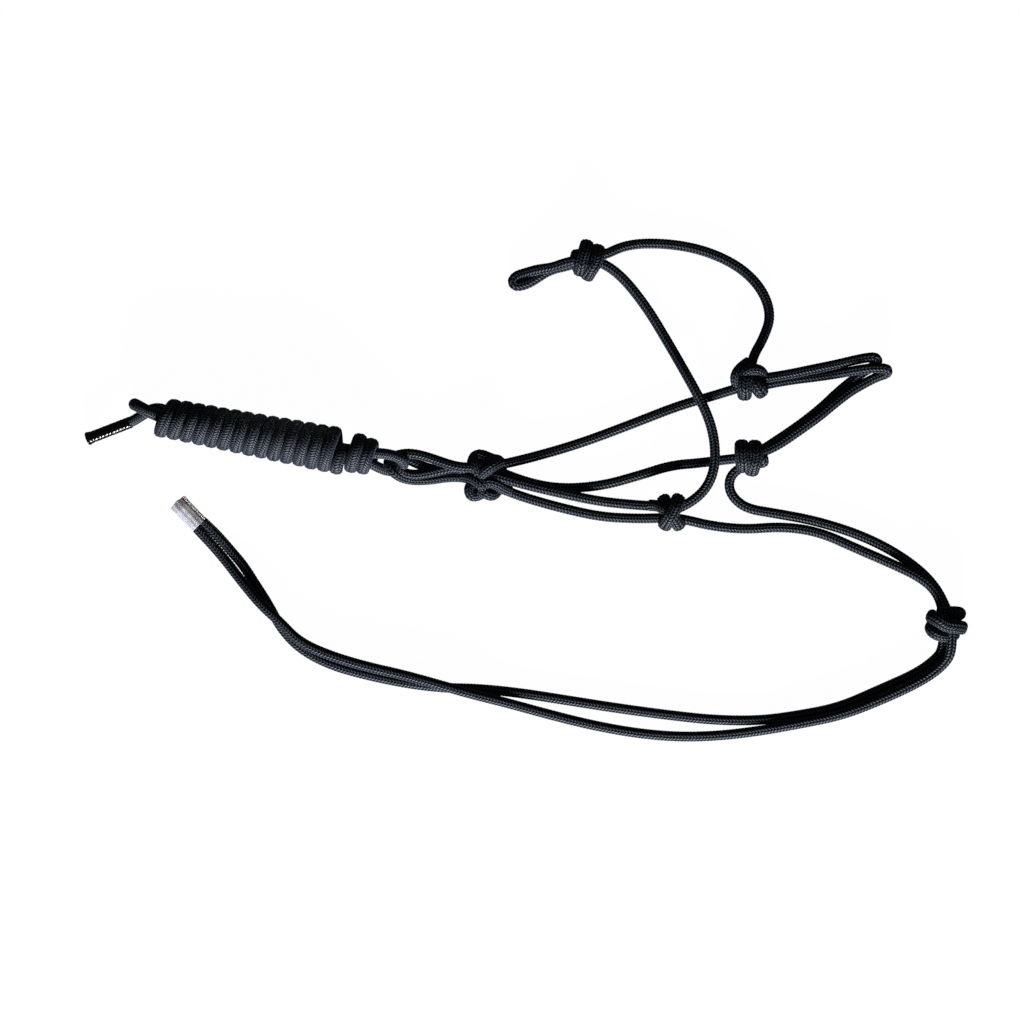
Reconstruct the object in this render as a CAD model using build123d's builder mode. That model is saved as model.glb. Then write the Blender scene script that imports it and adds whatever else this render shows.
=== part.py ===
"""Rope halter with a wound lead rope, laid flat.

One thin cord is tied into the halter: the knots, the straps between them and the two long crown
tails. The tails end in one crimped metal sleeve. A thicker lead rope, wound into a hank, is linked
through the two small loops of the fiador knot. Units are millimetres, +Z up, the floor is z = 0,
+X runs along the chin cords towards the nose, and the origin is under the middle of the whole object.
"""

from build123d import *
from math import cos, pi, radians, sin, tan
import os

os.makedirs("parts", exist_ok=True)

# Driving dimensions
HALTER_CORD_D = 8.0
LEAD_ROPE_D = 10.0
CORE_ROPE_D = 7.2  # the lead's own runs, squeezed inside the winding
ARC_SHARE = 0.45  # the share of the shorter run that each bend may use

KNOT_Z = 12.0  # the middle of a strap knot
FIADOR_Z = 14.0
FERRULE_LENGTH = 27.0
FERRULE_WIDTH = 16.0
FERRULE_HEIGHT = 10.0
FERRULE_CRIMP_HEIGHT = 6.4
FERRULE_WALL = 0.8
FERRULE_RECESS = 3.0
FERRULE_SEAM = (22.0, 1.4, 0.5)  # length, width and height of the lap seam

HANK_PITCH = 10.4
HANK_TURNS = 15
HANK_TURN_R = 13.25  # from the winding's axis to the middle of the rope
HANK_START = (-296.5, 59.5)
HANK_HEADING = -10.7  # degrees from +X
HANK_Z = HANK_TURN_R + LEAD_ROPE_D / 2
END_TURN_RS = (12.9, 12.2)
END_TURN_GAP = 11.4  # from the last turn of the main winding to the first end turn

SLEEVE_D = 11.4
SLEEVE_BORE_D = 10.0

# Routes: the corner points of each cord, x, y and z
TIE_LOOP = [
    (37.5, 189, 16.5), (25, 186, 14), (11, 184, 12), (-3, 180.5, 7), (-14.5, 177, 4.5),
    (-20, 171, 4.2), (-14.5, 164, 4), (-3, 166, 4), (10.5, 176, 4), (24.5, 182.5, 4),
    (37.5, 187, 7.5),
]
CHEEK_LEFT = [
    (59.5, 192, 17), (83, 204, 5), (116, 204.5, 4), (147.5, 198.5, 4), (176, 185, 4),
    (194.5, 166, 4), (201.5, 144.5, 4.5), (197, 125.5, 10), (188.5, 110.5, 13),
]
THROAT_LEFT = [
    (59, 190, 8), (78, 177.5, 4.5), (98, 152.5, 4), (115, 124.5, 4.2), (134, 90, 14),
    (147.5, 64.5, 14.5), (154, 43, 13.5), (154.5, 20, 15), (148, 2.5, 14), (134.5, -10, 13),
]
CHIN_LEFT = [
    (-26, 20.5, 17), (2, 27, 5), (43.5, 39, 4), (86, 55, 4), (124, 70, 4.2), (152, 78, 4),
    (173.5, 84.5, 11.5),
]
CHIN_RIGHT = [
    (-25, 16.5, 8), (-1, 7, 4), (27, 1.5, 4), (61.5, 4, 4), (93.5, 13, 4), (118.5, 21, 4.2),
    (142.5, 23, 4), (158, 25, 4.1), (176, 27, 12.5),
]
FIADOR_STRAND_UPPER = [
    (-25, 11.5, 17.5), (-3, 5, 13.5), (27, -2, 13), (57.5, -8.5, 5), (86, -11.5, 4),
    (110, -13, 11),
]
FIADOR_STRAND_LOWER = [
    (-25, 3, 13), (-3, -5.5, 5), (27, -14, 4), (60, -21.5, 4), (89.5, -23, 4.3), (110, -22.5, 11),
]
NOSEBAND_STRAND_OUTER = [
    (200.5, 95, 13), (222.5, 99, 5), (251, 105.5, 6), (274.5, 110.5, 12.5), (286, 112.5, 13.5),
    (293, 109, 10.5), (290, 103, 5), (279.5, 98, 4), (264.5, 88.5, 4), (245.5, 72, 4.2),
    (227.5, 57, 4), (211.5, 44.5, 6), (200.5, 37, 15),
]
NOSEBAND_STRAND_INNER = [
    (200.5, 86, 13), (222.5, 89, 5.5), (249.5, 94.5, 9), (272, 99, 14.5), (289, 101.5, 16),
    (300.5, 101.5, 14.5), (304, 96, 8), (294, 92, 4), (274.5, 82.5, 4), (249.5, 62.5, 4.2),
    (231.5, 47, 4), (215.5, 36.5, 4.3), (200.5, 30, 7),
]
CHEEK_RIGHT = [
    (177.5, 20, 6.5), (168.5, 13.5, 4.3), (166, 3.5, 4), (170.5, -6.5, 4), (182, -15, 4.1),
    (204, -18.5, 4), (239.5, -25, 4), (279.5, -38, 4.1), (312.5, -56, 4), (335.5, -76, 4.3),
    (346.5, -98.5, 9),
]
THROAT_RIGHT = [
    (129, -23.5, 11), (151.5, -29, 4.2), (179.5, -32, 4), (211, -29.5, 4), (241.5, -34, 4),
    (272.5, -48, 4.1), (301.5, -60.5, 6), (324, -71.5, 12), (337, -83.5, 14),
    (341.5, -98.5, 17.5),
]
CROWN_TAIL_A = [
    (350.5, -131.5, 16), (343.5, -146, 11.7), (325.5, -159, 11), (294, -173.5, 10.5),
    (259.5, -185, 10), (225, -192, 9.5), (193.5, -198, 6), (159, -202.5, 4), (123.5, -203.5, 4.2),
    (87, -200, 4), (50, -193, 4.2), (14.5, -184, 4), (-17, -175, 8), (-46, -167.5, 13),
    (-72, -160, 13), (-101, -152, 11), (-132.5, -145, 10.3), (-163, -136, 10),
    (-188.5, -124.5, 10.7), (-205, -107, 13), (-219, -94, 13), (-238.5, -73, 8.5),
    (-258, -49.5, 5.3), (-273.5, -32, 5.2),
]
CROWN_TAIL_B = [
    (344.5, -131.5, 8), (337.5, -142, 4.5), (321.5, -153.5, 4), (291, -166.5, 4.1),
    (258, -179, 4), (225, -185.5, 4.1), (192, -190, 4), (154.5, -189.5, 4.1), (117.5, -185.5, 4),
    (76.5, -180, 4.1), (35, -173.5, 4), (-6, -167, 4.1), (-41, -163.5, 4), (-68, -163, 4.1),
    (-98.5, -159.5, 4), (-132.5, -152.5, 4.1), (-163, -144, 4), (-187.5, -131, 4.1),
    (-203.5, -114, 4), (-215.5, -93, 4.1), (-227.5, -75, 4), (-244, -53, 4.5),
    (-254.5, -40.5, 5.2), (-267.5, -26, 5.2),
]
LEAD_LOOP_OUTER = [
    (-59.5, 23, 17.5), (-72, 24.5, 15.5), (-87, 29, 14), (-102.5, 32, 12.5), (-114, 30.5, 12),
    (-117, 23.5, 18), (-116, 15, 21.5), (-107.5, 8, 20.5), (-93.5, 6, 17.5), (-75.5, 8, 15),
    (-59.5, 10.5, 15),
]
LEAD_LOOP_INNER = [
    (-59.5, 19, 9), (-72, 22.5, 6), (-87, 25, 4.2), (-99.5, 27, 4.2), (-108, 25.5, 9),
    (-110, 20, 16), (-105, 15.5, 21), (-95.5, 13, 19), (-82, 15.5, 14.5), (-70.5, 16.5, 15.5),
    (-59.5, 17, 18),
]
LEAD_EYE = [
    (-124, 31, 21.5), (-115, 32.5, 22.5), (-105, 29.5, 22.5), (-97, 23.5, 17.5), (-98, 16, 9.5),
    (-107, 13, 5.3), (-116, 15.5, 5.3), (-124.5, 21, 14),
]
LEAD_CORE_UPPER = [(-303, 60, 22.6), (-124, 31, 20.5)]
LEAD_CORE_LOWER = [(-303, 60.5, 14), (-124.5, 21, 16)]
LEAD_BIGHT = [
    (-303, 60, 23.5), (-311.5, 64, 29.5), (-320.5, 68, 29.5), (-326.5, 70.5, 18.7),
    (-320.5, 69.5, 7.5), (-311.5, 65, 7.5), (-303, 60.5, 13),
]
LEAD_TAIL_ROOT = [
    (-304.5, 73, 22), (-312.5, 66.5, 20), (-318.5, 62, 17), (-324, 58.2, 12.3),
]
LEAD_TAIL = [(-327.3, 56.2, 10.6), (-363, 42.5, 5.8)]


def finish(piece, name):
    """Label a finished piece and write its STEP file."""
    piece.part.label = name
    export_step(piece.part, f"parts/{name}.step")


def corner_radii(name, route):
    """The largest arc at each corner that the two runs beside it leave room for."""
    points = [Vector(*point) for point in route]
    runs = [end - start for start, end in zip(points, points[1:])]
    radii = []
    for before, after in zip(runs, runs[1:]):
        half_turn = radians(before.get_angle(after)) / 2
        radii.append(ARC_SHARE * min(before.length, after.length) / tan(half_turn))
    print(name, "radii", [round(radius) for radius in radii])
    return radii


def cord(name, route, diameter):
    """A round cord along its route, straight runs joined by tangent arcs."""
    with BuildPart() as tube:
        with BuildLine() as path:
            if len(route) == 2:
                Line(*route)
            else:
                FilletPolyline(*route, radius=corner_radii(name, route))
        with BuildSketch(Plane(path.line @ 0, z_dir=path.line % 0)):
            Circle(diameter / 2)
        sweep()
    length = path.wire().length
    section = pi * diameter**2 / 4
    print(name, "length", round(length, 1),
          "volume ratio", round(tube.part.volume / (section * length), 4))
    finish(tube, name)


def knot(name, centre, heading, width, height, wrap_spacing, neck_back, neck_front):
    """An overhand knot of doubled cord: two wraps side by side round a flat core.

    The cords run through it along the heading, in degrees from +X. The necks are the lengths of
    doubled cord that come out behind and in front of the knot's middle.
    """
    along = Vector(cos(radians(heading)), sin(radians(heading)), 0)
    middle = Vector(*centre)
    wrap_width = width - HALTER_CORD_D
    wrap_height = height - HALTER_CORD_D
    with BuildPart() as tied:
        for side in (-1, 1):
            wrap_plane = Plane(middle + along * (side * wrap_spacing / 2),
                               x_dir=along.cross(Vector(0, 0, 1)), z_dir=along)
            with BuildLine(wrap_plane) as wrap:
                half = (wrap_width - wrap_height) / 2
                radius = wrap_height / 2
                top = Line((-half, radius), (half, radius))
                bottom = Line((half, -radius), (-half, -radius))
                ThreePointArc(top @ 1, (half + radius, 0), bottom @ 0)
                ThreePointArc(bottom @ 1, (-half - radius, 0), top @ 0)
            with BuildSketch(Plane(wrap.line @ 0, z_dir=wrap.line % 0)):
                Circle(HALTER_CORD_D / 2)
            sweep()
        core_plane = Plane(middle, x_dir=along.cross(Vector(0, 0, 1)), z_dir=along)
        core_reach = wrap_spacing / 2 + HALTER_CORD_D / 4
        with BuildSketch(core_plane.offset(-core_reach)):
            SlotOverall(wrap_width, wrap_height)
        extrude(amount=2 * core_reach)
        with BuildSketch(core_plane.offset(-neck_back)):
            SlotOverall(2 * HALTER_CORD_D, HALTER_CORD_D)
        extrude(amount=neck_back + neck_front)
    finish(tied, name)


def crown_ferrule():
    """The crimped sleeve over both crown tails: a flat tube, pinched shut at its far end."""
    mouth = (Vector(*CROWN_TAIL_A[-1]) + Vector(*CROWN_TAIL_B[-1])) * 0.5
    across = (Vector(*CROWN_TAIL_B[-1]) - Vector(*CROWN_TAIL_A[-1])).normalized()
    along = Vector(0, 0, 1).cross(across)
    mouth = Vector(mouth.X, mouth.Y, FERRULE_HEIGHT / 2) - along * FERRULE_RECESS
    mouth_plane = Plane(mouth, x_dir=across, z_dir=along)
    with BuildPart() as ferrule:
        with BuildSketch(mouth_plane):
            SlotOverall(FERRULE_WIDTH, FERRULE_HEIGHT)
        extrude(amount=FERRULE_LENGTH * 0.72)
        with BuildSketch(mouth_plane.offset(FERRULE_LENGTH * 0.72)):
            SlotOverall(FERRULE_WIDTH, FERRULE_HEIGHT)
        with BuildSketch(mouth_plane.offset(FERRULE_LENGTH)):
            SlotOverall(FERRULE_WIDTH + 0.6, FERRULE_CRIMP_HEIGHT)
        loft()
        with BuildSketch(mouth_plane):
            SlotOverall(FERRULE_WIDTH - 2 * FERRULE_WALL, FERRULE_HEIGHT - 2 * FERRULE_WALL)
        extrude(amount=FERRULE_RECESS, mode=Mode.SUBTRACT)
        seam_length, seam_width, seam_height = FERRULE_SEAM
        seam_plane = Plane(mouth + along * (FERRULE_LENGTH * 0.36) + across * 4,
                           x_dir=along, z_dir=(0, 0, 1))
        with BuildSketch(seam_plane.offset(FERRULE_HEIGHT / 2 - seam_height)):
            Rectangle(seam_length * 0.8, seam_width)
        extrude(amount=2 * seam_height)
    finish(ferrule, "crown_ferrule")


def winding(name, first_offset, turn_radii):
    """Turns of the lead rope laid side by side round its own runs, as one ribbed tube."""
    heading = Vector(cos(radians(HANK_HEADING)), sin(radians(HANK_HEADING)), 0)
    first = Vector(*HANK_START, HANK_Z) + heading * first_offset
    turn_plane = Plane(first, x_dir=heading, z_dir=heading.cross(Vector(0, 0, 1)))
    rope_r = LEAD_ROPE_D / 2
    inner = min(turn_radii) - rope_r
    with BuildPart() as coil:
        with BuildSketch(turn_plane):
            for index, turn_r in enumerate(turn_radii):
                with Locations((index * HANK_PITCH, turn_r)):
                    Circle(rope_r)
            band_length = (len(turn_radii) - 1) * HANK_PITCH + rope_r
            band_height = rope_r * 1.3
            with Locations(((len(turn_radii) - 1) * HANK_PITCH / 2, inner + rope_r)):
                Rectangle(band_length, band_height)
        revolve(axis=Axis(first, heading))
    finish(coil, name)


def tail_sleeve():
    """The shrunk sleeve that seals the lead rope's free end."""
    start = Vector(*LEAD_TAIL[0])
    end = Vector(*LEAD_TAIL[1])
    sleeve_plane = Plane(start, z_dir=end - start)
    with BuildPart() as sleeve:
        with BuildSketch(sleeve_plane):
            Circle(SLEEVE_D / 2)
            Circle(SLEEVE_BORE_D / 2, mode=Mode.SUBTRACT)
        extrude(amount=(end - start).length)
    finish(sleeve, "lead_tail_sleeve")


# Left side: the tie loop, its knot and the two cords that frame the cheek
knot("tie_loop_knot", (50, 190, KNOT_Z), 0, 34.6, 24, 11.5, 10, 13)
cord("tie_loop", TIE_LOOP, HALTER_CORD_D)
cord("cheek_left", CHEEK_LEFT, HALTER_CORD_D)
cord("throat_left", THROAT_LEFT, HALTER_CORD_D)

# Chin and throat: the fiador knot, its cords and the three knots that they run to
knot("fiador_knot", (-36, 11.5, FIADOR_Z), 0, 42, 28, 13, 21.5, 13)
cord("chin_left", CHIN_LEFT, HALTER_CORD_D)
cord("chin_right", CHIN_RIGHT, HALTER_CORD_D)
cord("fiador_strand_upper", FIADOR_STRAND_UPPER, HALTER_CORD_D)
cord("fiador_strand_lower", FIADOR_STRAND_LOWER, HALTER_CORD_D)
knot("throat_knot", (119, -18, KNOT_Z), 0, 32.6, 24, 11.5, 11, 10.5)
knot("nose_knot_left", (183.5, 89, KNOT_Z), 0, 30.5, 24, 12, 12.5, 13.2)
knot("nose_knot_right", (184.5, 27, KNOT_Z), 0, 32, 24, 9.5, 11.5, 13.2)

# Noseband: two cords, each folded back on itself
cord("noseband_strand_outer", NOSEBAND_STRAND_OUTER, HALTER_CORD_D)
cord("noseband_strand_inner", NOSEBAND_STRAND_INNER, HALTER_CORD_D)

# Right side and crown
cord("cheek_right", CHEEK_RIGHT, HALTER_CORD_D)
cord("throat_right", THROAT_RIGHT, HALTER_CORD_D)
knot("crown_knot", (345.5, -109.5, KNOT_Z + 1), 270, 34.6, 26, 12.4, 12.5, 17.5)
cord("crown_tail_a", CROWN_TAIL_A, HALTER_CORD_D)
cord("crown_tail_b", CROWN_TAIL_B, HALTER_CORD_D)
crown_ferrule()

# Lead rope: the fiador's two loops, the eye linked through them, the winding and the free end
cord("lead_loop_outer", LEAD_LOOP_OUTER, HALTER_CORD_D)
cord("lead_loop_inner", LEAD_LOOP_INNER, HALTER_CORD_D)
cord("lead_eye", LEAD_EYE, LEAD_ROPE_D)
cord("lead_core_upper", LEAD_CORE_UPPER, CORE_ROPE_D)
cord("lead_core_lower", LEAD_CORE_LOWER, CORE_ROPE_D)
winding("lead_hank", 0, [HANK_TURN_R] * HANK_TURNS)
winding("lead_hank_end_turns", (HANK_TURNS - 1) * HANK_PITCH + END_TURN_GAP, END_TURN_RS)
cord("lead_bight", LEAD_BIGHT, LEAD_ROPE_D)
cord("lead_tail_root", LEAD_TAIL_ROOT, LEAD_ROPE_D)
cord("lead_tail", LEAD_TAIL, LEAD_ROPE_D)
tail_sleeve()
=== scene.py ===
"""Looks of the rope halter: braided cord, tied knots, wound lead rope, crimped sleeve, floor and light.

Routes are in millimetres, as the halter was designed, and everything made here is in metres.
"""

import math

import bpy
import numpy as np
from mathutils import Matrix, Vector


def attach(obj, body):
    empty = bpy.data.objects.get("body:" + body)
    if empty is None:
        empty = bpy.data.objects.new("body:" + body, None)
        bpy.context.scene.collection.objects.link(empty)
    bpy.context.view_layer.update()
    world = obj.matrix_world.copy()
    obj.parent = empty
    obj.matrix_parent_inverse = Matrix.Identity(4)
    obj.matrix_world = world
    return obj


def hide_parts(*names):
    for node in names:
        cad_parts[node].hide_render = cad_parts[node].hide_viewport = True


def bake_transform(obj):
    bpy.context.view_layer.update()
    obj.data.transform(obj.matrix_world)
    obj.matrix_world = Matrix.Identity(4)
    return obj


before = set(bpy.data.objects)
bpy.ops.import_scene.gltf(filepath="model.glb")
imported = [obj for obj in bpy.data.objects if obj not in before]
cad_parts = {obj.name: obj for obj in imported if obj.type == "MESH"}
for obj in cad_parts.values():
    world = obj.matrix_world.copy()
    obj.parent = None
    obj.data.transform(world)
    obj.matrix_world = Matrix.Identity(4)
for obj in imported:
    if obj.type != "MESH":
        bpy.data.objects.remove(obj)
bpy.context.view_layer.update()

MM = 0.001
CORD_D = 8.0
LEAD_D = 10.0
LEAD_SQUEEZED_D = 7.4  # the lead's own runs inside its winding
FULLNESS = 1.035  # a lying rope's width against its nominal one
KNOT_TURN_R, KNOT_RUN_R = 4.5, 4.8  # a knot's closed turns and its open runs
# How wide and how thick a rope is where it is pulled tight, against the round rope
PRESSED_LEAD = (1.07, 0.82)
PRESSED_TURN = (1.27, 0.96)
# A stitch's length, its slope across its column, the columns round the rope and how square they are
CORD_BRAID = (2.7, 1.0, 8, 3.5)
KNOT_BRAID = (2.2, 1.0, 12, 3.5)
LEAD_BRAID = (1.9, 1.0, 10, 10.0)
BEAD_PITCH = 3.1  # between the beads that the braid raises in the end sleeve

# In metres: a rope mesh's rings are a step apart, and relief is how far the stitches stand out
STEP = 0.0006
RELIEF = 0.0004
FLOOR_GAP = 0.0001

# In metres: where the camera stands, and how wide a square it sees at a level above the floor
CAMERA_PLACE = (-0.0144, -0.0159, 2.4)
FIELD_WIDTH = 0.8415
FIELD_LEVEL = 0.008

# Routes of the cords, with the stretches that run on into the knots
TIE_LOOP = [
    (51.5, 190.5, 15), (40.5, 189.5, 15.5), (31, 187.5, 14.5), (21, 184, 12.5), (13, 183, 10),
    (5.5, 181.6, 7), (-2, 179.5, 4.6), (-8.5, 177.6, 4.4), (-12.6, 173.5, 4.4), (-10.5, 169.5, 4.4),
    (-5.5, 169.3, 4.4), (1.5, 171.9, 4.4), (8.5, 176.3, 4.3), (15.5, 180.5, 4.3), (23, 183.5, 5),
    (31, 185, 6.5), (41, 188, 8), (51.5, 189.5, 8.5),
]
CHEEK_LEFT = [
    (50, 190.5, 15),
    (59.5, 192, 17), (83, 204, 5), (116, 204.5, 4), (147.5, 198.5, 4), (176, 185, 4),
    (194.5, 166, 4), (201.5, 144.5, 4.5), (194.5, 125.5, 10), (185.5, 110.5, 13),
    (183.5, 97, 13), (183, 90, 12),
]
THROAT_LEFT = [
    (50, 190, 9),
    (59, 190, 8), (78, 177.5, 4.5), (98, 152.5, 4), (115, 124.5, 4.2), (134, 90, 14),
    (147.5, 64.5, 14.5), (154, 43, 13.5), (154.5, 20, 15), (148, 2.5, 14), (134.5, -10, 13),
    (124, -14.5, 13),
]
CHIN_LEFT = [
    (-34, 18, 17),
    (-26, 20.5, 17), (2, 27, 5), (43.5, 39, 4), (86, 55, 4), (124, 70, 4.2), (152, 78, 4),
    (173.5, 84.5, 11.5), (181, 87, 12),
]
CHIN_RIGHT = [
    (-33, 17, 9),
    (-25, 16.5, 8), (-1, 7, 4), (27, 1.5, 4), (61.5, 4, 4), (93.5, 13, 4), (118.5, 21, 4.2),
    (142.5, 23, 4), (158, 25, 4.1), (176, 27, 12.5), (183, 27.5, 12.5),
]
FIADOR_STRAND_UPPER = [
    (-33, 13, 17.5),
    (-25, 11.5, 17.5), (-3, 5, 13.5), (27, -2, 13), (57.5, -8.5, 5), (86, -11.5, 4),
    (110, -13, 11), (118, -13.5, 12),
]
FIADOR_STRAND_LOWER = [
    (-33, 5, 13),
    (-25, 3, 13), (-3, -5.5, 5), (27, -14, 4), (60, -21.5, 4), (89.5, -23, 4.3), (110, -22.5, 11),
    (118, -22.5, 12),
]
NOSEBAND_STRAND_OUTER = [
    (184, 92, 16), (193.5, 92.5, 15.5), (204, 94, 11), (218, 96.5, 9.5), (234.5, 100, 9),
    (254, 104, 7), (271, 108, 9), (279.8, 109.6, 13), (286.8, 110, 14.5), (288.8, 106, 13),
    (283.5, 101.5, 8), (276.5, 97.5, 4.5), (267.5, 90.5, 4), (256.5, 81.5, 4), (243.5, 69, 4),
    (228.5, 57, 4), (213.5, 46.5, 4), (202, 39, 6), (193.5, 33.5, 9), (184.5, 30.5, 9),
]
NOSEBAND_STRAND_INNER = [
    (184.5, 86.5, 9), (194.5, 87, 8), (205.5, 89.5, 4.5), (221, 92, 4), (237.5, 94, 4), (254, 96.3, 4.5),
    (266, 98.4, 9), (277, 100.2, 13.8), (287.5, 101, 15), (296.5, 100.5, 13.5), (297, 96.5, 9),
    (289, 94.2, 6), (279.5, 89.4, 5), (266.8, 82.2, 6), (254, 72.6, 9), (239.5, 60.5, 11.5),
    (224.5, 50, 11.5), (209.5, 39.5, 11.5), (199, 34, 13), (191, 31, 15), (184, 28.5, 15),
]
CHEEK_RIGHT = [
    (184, 25, 8.5),
    (177.5, 20, 6.5), (168.5, 13.5, 4.3), (166, 3.5, 4), (170.5, -6.5, 4), (182, -15, 4.1),
    (204, -18.5, 4), (239.5, -25, 4), (279.5, -38, 4.1), (312.5, -56, 4), (335.5, -76, 4.3),
    (346.5, -98.5, 9), (349, -108, 10),
]
THROAT_RIGHT = [
    (121, -22.5, 12),
    (129, -23.5, 11), (151.5, -29, 4.2), (179.5, -32, 4), (211, -29.5, 4), (241.5, -34, 4),
    (272.5, -48, 4.1), (301.5, -60.5, 6), (324, -71.5, 12), (337, -83.5, 14),
    (341.5, -98.5, 17.5), (343, -108, 16),
]
CROWN_TAIL_A = [
    (348.5, -112, 16),
    (350, -131, 16), (342, -144.5, 11.7), (324, -157.2, 11), (293, -171.8, 10.5),
    (259.5, -185, 10), (225, -192, 9.5), (193.5, -198, 6), (159, -202.5, 4), (123.5, -203.5, 4.2),
    (87, -200, 4), (50, -193, 4.2), (14.5, -184, 4), (-17, -175, 8), (-46, -167.5, 13),
    (-72, -160, 13), (-101, -152, 11), (-132.5, -145, 10.3), (-163, -136, 10),
    (-188.5, -124.5, 10.7), (-205, -107, 13), (-220, -93.5, 13), (-236.7, -73.6, 8.5),
    (-249.7, -57, 5.3), (-260.4, -44.6, 5.2), (-267.5, -37.1, 5.2), (-273, -31.2, 5.2),
    (-278.5, -25.8, 5.1),
]
CROWN_TAIL_B = [
    (343.5, -112, 10),
    (343.5, -130.5, 8), (336, -140.5, 4.5), (320, -151.7, 4), (290, -164.8, 4.1),
    (258, -179, 4), (225, -185.5, 4.1), (192, -190, 4), (154.5, -189.5, 4.1), (117.5, -185.5, 4),
    (76.5, -180, 4.1), (35, -173.5, 4), (-6, -167, 4.1), (-41, -163.5, 4), (-68, -163, 4.1),
    (-98.5, -159.5, 4), (-132.5, -152.5, 4.1), (-163, -144, 4), (-187.5, -131, 4.1),
    (-203.5, -114, 4), (-214, -94, 4.1), (-225, -77, 4), (-234.5, -62, 4.1), (-242.8, -52.2, 4.5),
    (-250.3, -43.3, 5.2), (-258.3, -34.5, 5.2), (-268, -25.4, 5.2), (-273.4, -20, 5.1),
]
LEAD_LOOP_OUTER = [
    (-37.5, 18.5, 18), (-46.5, 19, 19), (-56.5, 19.5, 19), (-66, 22, 16), (-77, 26, 13),
    (-88.5, 29.5, 12), (-98.5, 31, 11.5), (-107.5, 29.5, 11), (-113.5, 26.5, 11.5), (-115, 22.5, 13.5),
    (-112.5, 17.5, 15.5), (-108, 13, 14), (-102, 10, 9), (-93, 8.5, 5), (-80.5, 9, 4.5), (-68, 11, 5),
    (-57.5, 11.5, 7), (-47.5, 10, 9), (-39, 9, 10),
]
LEAD_LOOP_INNER = [
    (-37.5, 15.5, 9), (-46.5, 17, 8), (-57.5, 18, 6), (-69, 17, 4.8), (-80.5, 18, 5.5),
    (-90.5, 22, 7.5), (-97.5, 25.5, 9), (-103.5, 27, 10), (-108, 25.5, 11.5), (-109, 21, 13.8),
    (-106, 17, 13.5), (-100, 14, 11), (-92.5, 13, 9), (-82, 14.5, 9.5), (-71, 17, 12.5), (-62, 19, 13),
    (-53, 18, 12.5), (-45.5, 15.5, 12.5), (-37.5, 14.5, 12.5),
]
LEAD_CORE = [
    (-225, 46, 22.6), (-270, 54.7, 21.3), (-288, 58, 20.6), (-297, 60, 21.5), (-304.5, 62.5, 24),
    (-312, 65, 24.5), (-318.5, 69, 23.5), (-323, 71, 18), (-323.5, 71, 9.5), (-319, 68.5, 5.5),
    (-311, 64.5, 5.5), (-302.5, 61, 8), (-293.5, 59, 12.5), (-275, 55.6, 13.4), (-240, 48.9, 14.3),
    (-180, 37.5, 15.6), (-150, 30.5, 15), (-137, 25.5, 13), (-128, 22, 12), (-123.5, 19.5, 9),
    (-117.5, 17, 6), (-111, 16, 5.2), (-105, 17.5, 8), (-101.5, 21.5, 14.5), (-103, 25.5, 20),
    (-108.5, 28.5, 21.5), (-117, 30.3, 21.8), (-126, 30.8, 21.5), (-136, 31, 20.5), (-160, 34.5, 21.8),
    (-190, 39.5, 22.7), (-213, 44, 22.7),
]
LEAD_TAIL = [
    (-301, 55, 5.6), (-297, 61.5, 5.6), (-299, 66.5, 8), (-304.5, 67.5, 12.5), (-310, 66.5, 14),
    (-315, 63.5, 14), (-320.5, 60, 13), (-327, 56.5, 10.6), (-340, 51.6, 9), (-362.4, 43, 5.6),
]

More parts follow.
